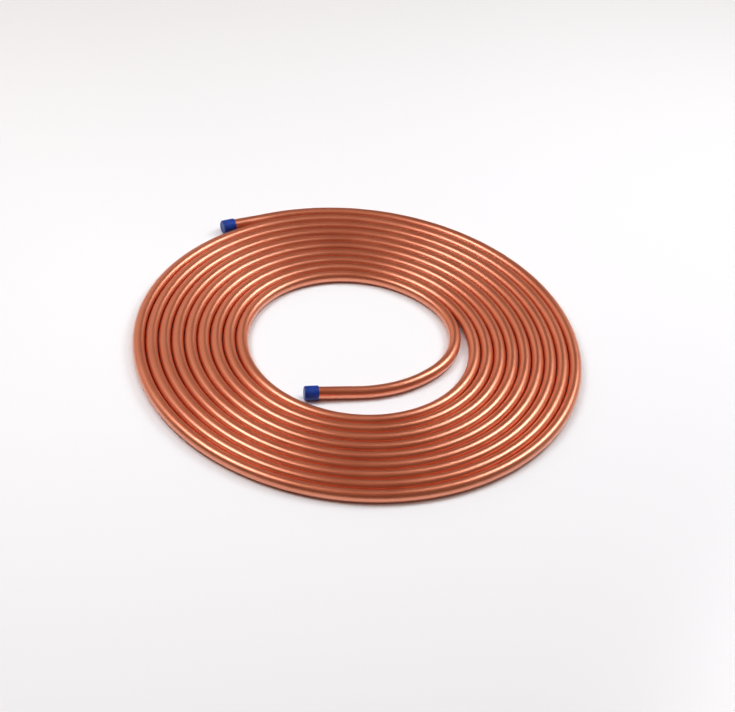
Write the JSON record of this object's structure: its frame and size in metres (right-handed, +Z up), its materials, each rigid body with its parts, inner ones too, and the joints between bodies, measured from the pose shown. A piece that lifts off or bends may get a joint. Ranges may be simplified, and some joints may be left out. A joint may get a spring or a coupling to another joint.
{
  "type": "copper tube coil",
  "caption": "Flat single-layer spiral coil of round copper tube lying on a level surface, its two free ends closed by push-on plastic caps.",
  "frame": {"origin": "centre of the whole outline, at the level of the floor that the coil lies on", "axes": "+Z up, along the coil's axis; the outer cap is at -X +Y; seen from above the tube runs clockwise from the outer cap inwards"},
  "size_m": [0.3472, 0.3522, 0.0116],
  "materials": {
    "copper": null,
    "cap_plastic": "moulded blue polyethylene, satin"
  },
  "bodies": {
    "root": {"copper_tube": "copper", "outer_end_cap": "cap_plastic", "inner_end_cap": "cap_plastic"}
  },
  "joints": []
}
